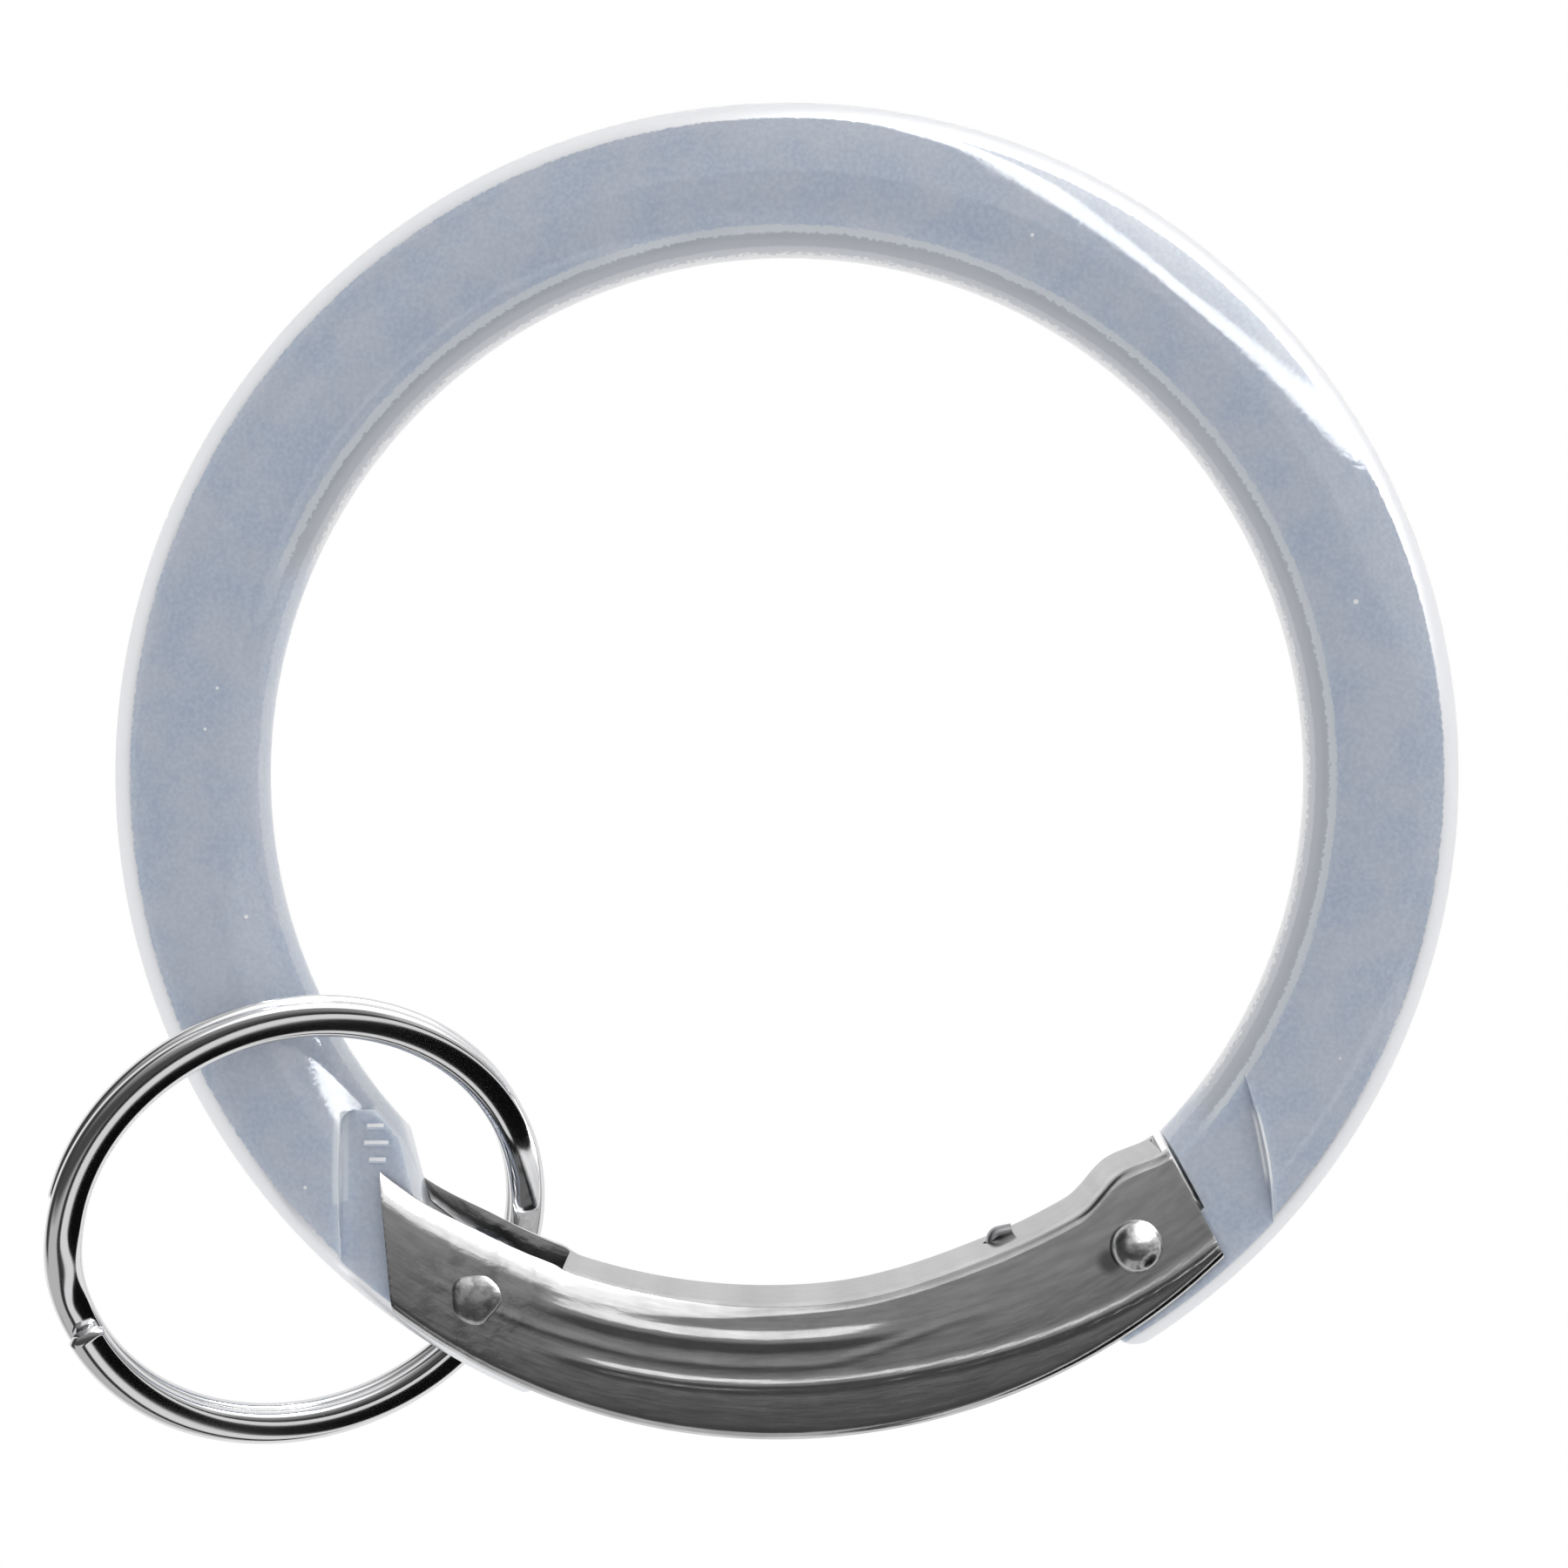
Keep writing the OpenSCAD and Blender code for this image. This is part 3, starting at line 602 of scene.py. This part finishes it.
def spring_path():
    """The wire's path as (x, y, z, heading): short leg, coil, long arm and hook."""
    arm_r = math.hypot(PIVOT[0] - WEB_C[0], PIVOT[1] - WEB_C[1]) - COIL_R
    start = 90 + SPRING_BASE + 360 * COIL_TURNS
    path = []
    c, s = unit(start)
    # the short leg runs in to where the coil starts
    for i in range(6):
        leg = LEG * (1 - i / 6)
        x, y = PIVOT[0] + COIL_R * c - leg * s, PIVOT[1] + COIL_R * s + leg * c
        path.append((x, y, COIL_H / 2, start - 90))
    n = 150
    for i in range(n + 1):
        a = start - 360 * COIL_TURNS * i / n
        c, s = unit(a)
        path.append((PIVOT[0] + COIL_R * c, PIVOT[1] + COIL_R * s, COIL_H / 2 - COIL_H * i / n, a - 90))
    end = HOOK_A - math.degrees(math.asin(HOOK_BEND / arm_r))
    for i in range(1, 61):
        a = SPRING_BASE + (end - SPRING_BASE) * i / 60
        x, y = add(WEB_C, polar(arm_r, a))
        path.append((x, y, -COIL_H / 2, a))
    # the hook, drawn upright at its foot: out through the web, then over and down
    top = arm_r - WEB_R + HOOK_H
    hook = []
    for a in range(10, 91, 10):
        c, s = unit(a)
        hook.append((HOOK_BEND * (s - 1), HOOK_BEND * (1 - c), a))
    for a in range(90, -HOOK_DIP - 1, -10):
        c, s = unit(a)
        hook.append((HOOK_BEND * (1 - s), top - HOOK_BEND * (1 - c), a))
    c, s = unit(-HOOK_DIP)
    u, v, a = hook[-1]
    hook.append((u + HOOK_TIP * c, v + HOOK_TIP * s, a))
    foot = add(WEB_C, polar(arm_r, HOOK_A))
    for u, v, a in hook:
        x, y = turned(add(foot, (u, v)), foot, HOOK_A)
        path.append((x, y, -COIL_H / 2, HOOK_A + a))
    return path


def make_spring():
    rows = []
    for x, y, z, heading in spring_path():
        c, s = unit(heading)
        row = []
        for j in range(16):
            across, up = unit(360 * j / 16)
            row.append((x - WIRE_R * across * s, y + WIRE_R * across * c, z + WIRE_R * up))
        rows.append(row)
    o = sheet_through("spring_piece", rows)
    turn(o, PIVOT, GATE_REST)
    return o


# ---------------------------------------------------------------- split ring

RING_A = -47.2
RING_C = polar(LOOP_R - 0.4, RING_A)
RING_Z, RING_TILT = 0.15, 29.0
RING_R, RING_WIRE_W, RING_WIRE_T = 13.0, 1.9, 0.78
TURN_GAP = 0.04
CROSSING, CROSSING_GAP, WIRE_END_A = 28.0, 3.5, -38.0


def ring_point(x, y, z):
    """From the ring's own frame to the loop's."""
    c, s = unit(-RING_TILT)
    y, z = y * c - z * s, y * s + z * c
    c, s = unit(-90 + RING_A)
    return RING_C[0] + x * c - y * s, RING_C[1] + x * s + y * c, RING_Z + z


def oval(w, t, power, n=28):
    """The wire's section: an oval, flatter the lower power is."""
    points = []
    for i in range(n):
        c, s = unit(360 * (i + 0.5) / n)
        points.append((math.copysign(w * abs(c) ** power, c), math.copysign(t * abs(s) ** power, s)))
    return points


def make_ring():
    """Two turns of flat wire, the second under the first, with a short crossing between them."""
    flat = 360 - CROSSING - 2 * CROSSING_GAP
    total = 2 * flat + CROSSING + 2 * CROSSING_GAP
    mid = RING_R - RING_WIRE_W / 2
    up = (RING_WIRE_T + TURN_GAP) / 2
    section = oval(RING_WIRE_W / 2, RING_WIRE_T / 2, 0.8)
    start = WIRE_END_A + CROSSING / 2 + CROSSING_GAP
    rows = []
    steps = 560
    for i in range(steps + 1):
        t = total * i / steps
        crossed = min(max((t - flat - CROSSING_GAP) / CROSSING, 0), 1)
        h = up * math.cos(math.pi * crossed)
        from_end = min(t, total - t)
        k = 1 - 0.35 * (1 - smooth(from_end / 1.2))
        c, s = unit(start + t)
        rows.append([ring_point((mid + u * k) * c, (mid + u * k) * s, h + v * k) for u, v in section])
    return sheet_through("ring_piece", rows)


# ---------------------------------------------------------------- materials

def material(name):
    m = bpy.data.materials.new(name)
    m.use_nodes = True
    return m, m.node_tree, m.node_tree.nodes["Principled BSDF"]


def link(tree, a, b):
    tree.links.new(a, b)


def set_or_link(t, socket, value):
    """Gives a socket a plain number, a colour or another node's output."""
    if isinstance(value, tuple):
        socket.default_value = (*value, 1)
    elif isinstance(value, (int, float)):
        socket.default_value = value
    else:
        link(t, value, socket)


def map_range(t, value, lo, hi, low=0.0, high=1.0):
    """From low to high, smoothly, while the value goes from lo to hi."""
    n = t.nodes.new("ShaderNodeMapRange")
    n.interpolation_type = "SMOOTHSTEP"
    for name, v in (("Value", value), ("From Min", lo), ("From Max", hi), ("To Min", low), ("To Max", high)):
        set_or_link(t, n.inputs[name], v)
    return n.outputs[0]


def maths(t, kind, a, b=0.0):
    n = t.nodes.new("ShaderNodeMath")
    n.operation = kind
    set_or_link(t, n.inputs[0], a)
    set_or_link(t, n.inputs[1], b)
    return n.outputs[0]


def noise(t, coord, scale, detail):
    n = t.nodes.new("ShaderNodeTexNoise")
    n.inputs["Scale"].default_value = scale
    n.inputs["Detail"].default_value = detail
    link(t, coord, n.inputs["Vector"])
    return n.outputs["Fac"]


def mix_value(t, factor, a, b):
    n = t.nodes.new("ShaderNodeMix")
    for i, v in ((0, factor), (2, a), (3, b)):
        set_or_link(t, n.inputs[i], v)
    return n.outputs[0]


def blend_color(t, factor, a, b):
    n = t.nodes.new("ShaderNodeMix")
    n.data_type = "RGBA"
    for i, v in ((0, factor), (6, a), (7, b)):
        set_or_link(t, n.inputs[i], v)
    return n.outputs[2]


def length_of(t, a, b):
    return maths(t, "SQRT", maths(t, "ADD", maths(t, "MULTIPLY", a, a), maths(t, "MULTIPLY", b, b)))


def away_from(t, x, y, c):
    """Distance from the line along Z through c, which is in millimetres."""
    return length_of(t, maths(t, "SUBTRACT", x, c[0] * MM), maths(t, "SUBTRACT", y, c[1] * MM))


def box_mask(t, x, y, c, half, soft):
    """One inside a rectangle about c, seen along Z, fading over soft; all in millimetres."""
    mask = 1.0
    for value, at, h in ((x, c[0], half[0]), (y, c[1], half[1])):
        off = maths(t, "ABSOLUTE", maths(t, "SUBTRACT", value, at * MM))
        mask = maths(t, "MULTIPLY", mask, map_range(t, off, h * MM, (h - soft) * MM))
    return mask


def object_axes(t):
    """The Object coordinates, and their x, y and z."""
    coord = t.nodes.new("ShaderNodeTexCoord").outputs["Object"]
    sep = t.nodes.new("ShaderNodeSeparateXYZ")
    link(t, coord, sep.inputs[0])
    return coord, *sep.outputs[:3]


def bump(t, height, strength, distance, finish):
    """Raises the finish's surface by height, up to distance in millimetres."""
    n = t.nodes.new("ShaderNodeBump")
    n.inputs["Strength"].default_value = strength
    n.inputs["Distance"].default_value = distance * MM
    link(t, height, n.inputs["Height"])
    link(t, n.outputs[0], finish.inputs["Normal"])


def metal(name, color, rough):
    m, _, finish = material(name)
    finish.inputs["Base Color"].default_value = (*color, 1)
    finish.inputs["Metallic"].default_value = 1.0
    finish.inputs["Roughness"].default_value = rough
    return m


def hammered_metal(name, color, rough):
    """Metal with soft dents and duller patches."""
    m, t, finish = material(name)
    coord = object_axes(t)[0]
    dents = noise(t, coord, 1300, 3)
    dull = tuple(0.6 * c for c in color)
    link(t, blend_color(t, map_range(t, dents, 0.35, 0.6), dull, color), finish.inputs["Base Color"])
    finish.inputs["Metallic"].default_value = 1.0
    finish.inputs["Roughness"].default_value = rough
    bump(t, dents, 0.6, 0.06, finish)
    return m


# places and radii of the bubbles, in millimetres
BUBBLES = (
    (29.0, 8.8, 0.16), (-27.7, -7.3, 0.12), (12.5, 27.5, 0.12), (-29.1, 4.4, 0.1),
    (-29.7, 2.3, 0.1), (-24.6, -21.1, 0.12), (28.2, -14.5, 0.08),
)


def inner_side_painted_light(t, body, radius, fine, from_pivot):
    """The bar's inner side, painted: a pale strip of painted highlight, then a grey band of painted shade on
    the inner wall, then a pale painted rim at its edge. It isn't on the nose.
    """
    wavy = maths(t, "ADD", radius, maths(t, "MULTIPLY", fine, 0.4 * MM))
    side = blend_color(t, map_range(t, wavy, 28.12 * MM, 28.05 * MM), (0.62, 0.65, 0.69), (0.46, 0.48, 0.52))
    side = blend_color(t, map_range(t, wavy, 27.35 * MM, 27.25 * MM), side, (0.74, 0.74, 0.76))
    inner = map_range(t, wavy, 28.45 * MM, 28.4 * MM)
    on_bar = map_range(t, from_pivot, (NOSE_STEP_R - 3.5) * MM, (NOSE_STEP_R - 1.5) * MM)
    return blend_color(t, maths(t, "MULTIPLY", inner, on_bar), body, side)


def caught_light(t, body, x, y, from_pivot):
    """Pale marks where the pocket's wall, the ribs and the nose's step catch the light."""
    wall = box_mask(t, x, y, (PIVOT[0] - POCKET_REACH, PIVOT[1] + 7.2), (0.42, 2.4), 0.2)
    body = blend_color(t, maths(t, "MULTIPLY", wall, 0.75), body, (0.66, 0.70, 0.74))
    for cx, cy, length in RIBS:
        rib = box_mask(t, x, y, (cx, cy + 0.06), (length / 2, 0.11), 0.05)
        body = blend_color(t, rib, body, (0.85, 0.86, 0.88))
    off_step = maths(t, "ABSOLUTE", maths(t, "SUBTRACT", from_pivot, NOSE_STEP_R * MM))
    step = map_range(t, off_step, 0.17 * MM, 0.07 * MM)
    step = maths(t, "MULTIPLY", step, map_range(t, y, -21.3 * MM, -20.3 * MM))
    step = maths(t, "MULTIPLY", step, map_range(t, y, -16.9 * MM, -17.9 * MM))
    return blend_color(t, step, body, (0.86, 0.88, 0.90))


def bubble_specks(t, x, y):
    specks = 0.0
    for cx, cy, r in BUBBLES:
        speck = map_range(t, away_from(t, x, y, (cx, cy)), r * MM, 0.6 * r * MM)
        specks = maths(t, "MAXIMUM", specks, speck)
    return specks


def plastic():
    """Pale, faintly clear plastic: even grey-blue inside, with a paler glassy rim."""
    m, t, finish = material("loop_plastic")
    coord, x, y, _ = object_axes(t)
    radius = length_of(t, x, y)
    from_pivot = away_from(t, x, y, PIVOT)
    fine = noise(t, coord, 4200, 3)
    clouds = map_range(t, noise(t, coord, 380, 5), 0.35, 0.65)
    cloudy = blend_color(t, clouds, (0.435, 0.495, 0.60), (0.50, 0.54, 0.62))
    body = blend_color(t, map_range(t, fine, 0.3, 0.75, 0, 0.4), cloudy, (0.64, 0.69, 0.75))
    # painted highlight and shade along the bar's inner side
    body = inner_side_painted_light(t, body, radius, fine, from_pivot)
    body = caught_light(t, body, x, y, from_pivot)
    body = blend_color(t, bubble_specks(t, x, y), body, (0.82, 0.83, 0.85))
    link(t, body, finish.inputs["Base Color"])
    finish.inputs["Roughness"].default_value = 0.04
    finish.inputs["IOR"].default_value = 1.5
    finish.inputs["Subsurface Weight"].default_value = 1.0
    finish.inputs["Subsurface Radius"].default_value = (1.0, 1.0, 1.0)
    finish.inputs["Subsurface Scale"].default_value = 1.2 * MM
    bump(t, fine, 0.3, 0.02, finish)

    # the glassy rim, where the surface turns away; it is weak on the inner side
    facing = t.nodes.new("ShaderNodeLayerWeight")
    facing.inputs["Blend"].default_value = 0.5
    jagged = maths(t, "ADD", facing.outputs["Facing"], maths(t, "MULTIPLY", fine, 0.07))
    rim = map_range(t, jagged, 0.4, 0.43, 0, 0.8)
    rim = maths(t, "MULTIPLY", rim, map_range(t, radius, 29.2 * MM, 29.6 * MM, 0.25, 1))
    gloss = t.nodes.new("ShaderNodeBsdfGlossy")
    gloss.inputs["Color"].default_value = (0.84, 0.84, 0.85, 1)
    gloss.inputs["Roughness"].default_value = 0.3
    both = t.nodes.new("ShaderNodeMixShader")
    link(t, rim, both.inputs[0])
    link(t, finish.outputs[0], both.inputs[1])
    link(t, gloss.outputs[0], both.inputs[2])
    link(t, both.outputs[0], t.nodes["Material Output"].inputs[0])
    return m


def gate_metal():
    """Plated sheet with streaks along the gate, dull blotches by the pivot, a painted shadow beside the
    latch and painted shade on the inner faces.
    """
    m, t, finish = material("gate_steel")
    coord, x, y, z = object_axes(t)
    dx = maths(t, "SUBTRACT", x, WEB_C[0] * MM)
    dy = maths(t, "SUBTRACT", WEB_C[1] * MM, y)
    round_by = maths(t, "ARCTAN2", dx, dy)
    from_web_c = length_of(t, dx, dy)

    # streaks run round the web's centre, about six times as long as they are wide
    unrolled = t.nodes.new("ShaderNodeCombineXYZ")
    link(t, from_web_c, unrolled.inputs[0])
    link(t, maths(t, "MULTIPLY", round_by, 0.16 * WEB_R * MM), unrolled.inputs[1])
    streaks = noise(t, unrolled.outputs[0], 2400, 4)
    color = blend_color(t, map_range(t, streaks, 0.25, 0.75), (0.53, 0.53, 0.53), (0.67, 0.67, 0.67))
    blotches = map_range(t, noise(t, coord, 900, 5), 0.38, 0.68)
    by_pivot = map_range(t, away_from(t, x, y, PIVOT), 5 * MM, 1.5 * MM, 0.15, 1.0)
    dull = maths(t, "MULTIPLY", blotches, by_pivot)
    color = blend_color(t, dull, color, (0.40, 0.40, 0.40))
    # painted shadow: a dark spot below and to the left of the latch rivet
    latch_shade_spot = away_from(t, x, y, add(LATCH_SHUT, (-1.35, -0.75)))
    color = blend_color(t, map_range(t, latch_shade_spot, 0.9 * MM, 0.3 * MM), color, (0.22, 0.22, 0.22))

    # painted shade: the faces inside the channel are darkened where its inside lies in shade; beside the
    # notch they start at the fold's own edge
    web_face = map_range(t, round_by, -0.37, -0.34, (WEB_R - 0.23) * MM, (WEB_R + 0.05) * MM)
    past_web = map_range(t, maths(t, "SUBTRACT", from_web_c, web_face), 0.0, 0.04 * MM)
    inner_z = GATE_W / 2 - SHEET + 0.08
    between_flanges = map_range(t, maths(t, "ABSOLUTE", z), inner_z * MM, (inner_z - 0.02) * MM)
    painted_shade_inner_face = maths(t, "MULTIPLY", past_web, between_flanges)
    color = blend_color(t, painted_shade_inner_face, color, (0.16, 0.16, 0.16))
    link(t, color, finish.inputs["Base Color"])
    finish.inputs["Metallic"].default_value = 1.0
    finish.inputs["Specular Tint"].default_value = (0.75, 0.75, 0.75, 1)
    finish.inputs["Roughness"].default_value = 0.14
    bump(t, maths(t, "ADD", streaks, dull), 0.35, 0.03, finish)
    return m


loop = make_loop()
shade(loop, 40)
finish_piece(loop, "loop", "loop_body", plastic())

gate = make_gate()
shade(gate, 35)
finish_piece(gate, "gate", "gate", gate_metal())

rivet_steel = hammered_metal("rivet_steel", (0.66, 0.66, 0.66), 0.22)
pivot = make_pivot()
shade(pivot, 40)
finish_piece(pivot, "gate", "pivot_rivet", rivet_steel)
latch = make_latch()
shade(latch, 40)
finish_piece(latch, "gate", "latch_rivet", rivet_steel)

spring = make_spring()
shade(spring, 50)
spring.data.materials.append(metal("spring_steel", (0.35, 0.35, 0.36), 0.3))
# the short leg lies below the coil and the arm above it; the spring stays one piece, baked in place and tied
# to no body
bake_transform(spring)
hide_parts("gate_spring")

ring = make_ring()
shade(ring, 50)
finish_piece(ring, "ring", "split_ring", metal("ring_steel", (0.72, 0.72, 0.73), 0.08))


# ---------------------------------------------------------------- stage

def make_world():
    """A studio for the reflections, and plain even light on everything matt."""
    world = bpy.data.worlds.new("studio")
    bpy.context.scene.world = world
    world.use_nodes = True
    world.cycles.sampling_method = "NONE"
    t = world.node_tree
    t.nodes.clear()
    out = t.nodes.new("ShaderNodeOutputWorld")
    coord = t.nodes.new("ShaderNodeTexCoord")
    sep = t.nodes.new("ShaderNodeSeparateXYZ")
    link(t, coord.outputs["Generated"], sep.inputs[0])
    x, y, z = sep.outputs

    # overhead: dim towards -Y, brighter towards +Y
    over = maths(t, "ADD", map_range(t, y, -0.45, -0.05, 0.10, 0.40), map_range(t, y, 0.0, 0.35, 0.0, 0.5))
    # pale low down all round, dark at the far left
    room = mix_value(t, map_range(t, z, 0.76, 0.66), over, 0.75)
    far_left = maths(t, "MULTIPLY", map_range(t, x, -0.3, -0.55), map_range(t, z, 0.15, 0.3))
    room = mix_value(t, far_left, room, 0.08)
    # one dark panel with a bright rim and a dark surround, in front and to the right
    panel = maths(t, "SUBTRACT", maths(t, "MULTIPLY", x, 0.65), maths(t, "MULTIPLY", y, 0.70))
    panel = maths(t, "ADD", panel, maths(t, "MULTIPLY", z, 0.29))
    room = mix_value(t, map_range(t, panel, 0.80, 0.82), room, 0.04)
    room = mix_value(t, map_range(t, panel, 0.860, 0.868), room, 1.1)
    room = mix_value(t, map_range(t, panel, 0.915, 0.925), room, 0.006)
    # a pale wall up and to the right, with a big bright window in it
    wall = maths(t, "MULTIPLY", map_range(t, x, -0.14, 0.02), map_range(t, y, 0.10, 0.16))
    room = mix_value(t, wall, room, 1.7)
    q = maths(t, "SUBTRACT", y, maths(t, "MULTIPLY", x, 0.24))
    beyond = maths(t, "SUBTRACT", x, map_range(t, z, -0.1, 0.45, 0.10, 0.275))
    window = maths(t, "MULTIPLY", map_range(t, beyond, -0.01, 0.01), map_range(t, q, 0.255, 0.27))
    middle = maths(t, "MULTIPLY", map_range(t, beyond, 0.10, 0.14), map_range(t, q, 0.37, 0.42))
    glow = mix_value(t, middle, 19.0, 6.5)
    total = maths(t, "ADD", room, maths(t, "MULTIPLY", window, glow))

    path = t.nodes.new("ShaderNodeLightPath")
    plain = maths(t, "MAXIMUM", path.outputs["Is Camera Ray"], path.outputs["Is Diffuse Ray"])
    light = t.nodes.new("ShaderNodeBackground")
    link(t, mix_value(t, plain, total, 1.0), light.inputs["Strength"])
    link(t, light.outputs[0], out.inputs[0])


def make_floor():
    m = bpy.data.materials.new("floor_white")
    m.use_nodes = True
    t = m.node_tree
    t.nodes.clear()
    glow = t.nodes.new("ShaderNodeEmission")
    glow.inputs["Strength"].default_value = 1.0
    link(t, glow.outputs[0], t.nodes.new("ShaderNodeOutputMaterial").inputs[0])
    bpy.ops.mesh.primitive_plane_add(size=1200 * MM, location=(0, 0, -8 * MM))
    o = just_added("floor")
    o.data.materials.append(m)


make_world()
make_floor()

CAMERA_H, SEEN_W = 140.0, 81.9
camera = bpy.data.cameras.new("camera")
camera.sensor_width = 36
camera.lens = camera.sensor_width * CAMERA_H / SEEN_W
camera.clip_start, camera.clip_end = 10 * MM, 10
eye = bpy.data.objects.new("camera", camera)
eye.location = (-0.16 * MM, -0.5 * MM, CAMERA_H * MM)
bpy.context.scene.collection.objects.link(eye)
bpy.context.scene.camera = eye
bpy.context.scene.view_settings.view_transform = "Standard"
